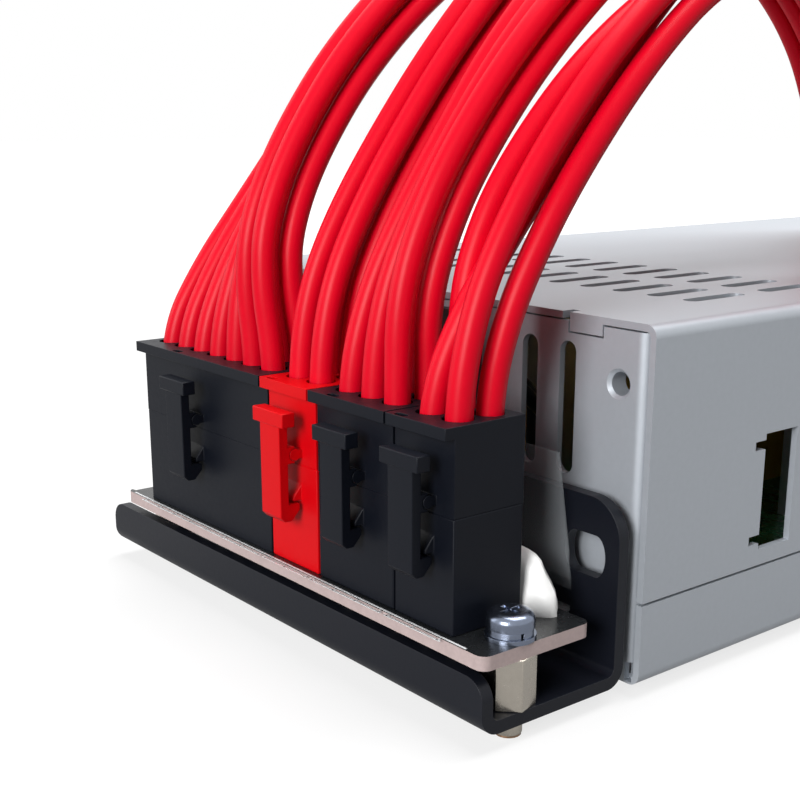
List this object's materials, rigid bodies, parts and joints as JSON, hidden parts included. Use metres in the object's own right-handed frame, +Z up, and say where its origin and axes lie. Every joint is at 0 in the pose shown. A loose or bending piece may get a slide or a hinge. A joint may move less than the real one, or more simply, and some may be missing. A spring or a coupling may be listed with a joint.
{
  "type": "flex atx power supply",
  "caption": "Small folded-steel computer power supply with a mains inlet and fan at the rear and a bracketed board of latched plugs with red silicone wires at the front.",
  "frame": {"origin": "on the surface the supply stands on, under the middle of its footprint, cables left out", "axes": "+X across the case, +Y from the front wall with the connector board to the rear wall with the mains inlet, +Z up"},
  "size_m": [0.0816, 0.178, 0.1004],
  "materials": {
    "black_plastic": "moulded nylon",
    "plated_steel": "nickel plated",
    "black_steel": "satin black coat",
    "black_board": "glossy solder mask",
    "grommet": "matt",
    "capacitors": "shrink sleeve",
    "steel_base": "zinc-coated sheet",
    "steel_cover": "zinc-coated sheet",
    "chokes": "enamelled wire",
    "red_nylon": "moulded nylon",
    "brass_pins": "tin-plated brass",
    "heatsinks": "extruded",
    "film": "clear sheet",
    "black_lead": "insulation",
    "orange_lead": "insulation",
    "yellow_lead": "insulation",
    "green_board": "glossy solder mask",
    "white_silicone": "cured sealant",
    "transformer": "taped winding",
    "red_wire": "silicone insulation"
  },
  "bodies": {
    "supply": {"ac_inlet": "black_plastic", "board_screws": "plated_steel", "board_washers": "plated_steel", "bracket": "black_steel", "bracket_screws": "plated_steel", "breakout_board": "black_board", "cable_grommet": "grommet", "capacitors": "capacitors", "case_base": "steel_base", "case_cover": "steel_cover", "chokes": "chokes", "cover_screws": "plated_steel", "fan_frame": "black_plastic", "fan_guard": "plated_steel", "fan_screws": "plated_steel", "far_plug_14_way": "black_plastic", "far_plug_4_way": "black_plastic", "far_plug_6_way": "black_plastic", "far_plug_red_4_way": "red_nylon", "header_14_way": "black_plastic", "header_4_way": "black_plastic", "header_6_way": "black_plastic", "header_pins": "brass_pins", "header_red_4_way": "red_nylon", "heatsinks": "heatsinks", "inlet_pins": "brass_pins", "insulating_film": "film", "leads_black": "black_lead", "leads_orange": "orange_lead", "leads_yellow": "yellow_lead", "main_board": "green_board", "plug_14_way": "black_plastic", "plug_4_way": "black_plastic", "plug_6_way": "black_plastic", "plug_red_4_way": "red_nylon", "silicone_bead": "white_silicone", "standoffs": "plated_steel", "transformer": "transformer", "wires_14_way": "red_wire", "wires_4_way": "red_wire", "wires_6_way": "red_wire", "wires_red_4_way": "red_wire"},
    "fan": {"fan_rotor": "black_plastic"},
    "latch_14_way_body": {"latch_14_way": "black_plastic"},
    "latch_red_4_way_body": {"latch_red_4_way": "red_nylon"},
    "latch_6_way_body": {"latch_6_way": "black_plastic"},
    "latch_4_way_body": {"latch_4_way": "black_plastic"}
  },
  "joints": [
    {"name": "fan_spin", "type": "hinge", "parent": "supply", "child": "fan", "pos_m": [0.0186, 0.07787, 0.02185], "axis": [0, 1, 0], "continuous": true},
    {"name": "latch_press_14_way", "type": "hinge", "parent": "supply", "child": "latch_14_way_body", "pos_m": [-0.01747, -0.08653, 0.0251], "axis": [1, 0, 0], "range_deg": [-10, 0], "stiffness_Nm_per_rad": 0.05},
    {"name": "latch_press_red_4_way", "type": "hinge", "parent": "supply", "child": "latch_red_4_way_body", "pos_m": [0.00507, -0.08653, 0.0251], "axis": [1, 0, 0], "range_deg": [-10, 0], "stiffness_Nm_per_rad": 0.05},
    {"name": "latch_press_6_way", "type": "hinge", "parent": "supply", "child": "latch_6_way_body", "pos_m": [0.01711, -0.08653, 0.0251], "axis": [1, 0, 0], "range_deg": [-10, 0], "stiffness_Nm_per_rad": 0.05},
    {"name": "latch_press_4_way", "type": "hinge", "parent": "supply", "child": "latch_4_way_body", "pos_m": [0.02915, -0.08653, 0.0251], "axis": [1, 0, 0], "range_deg": [-10, 0], "stiffness_Nm_per_rad": 0.05}
  ]
}
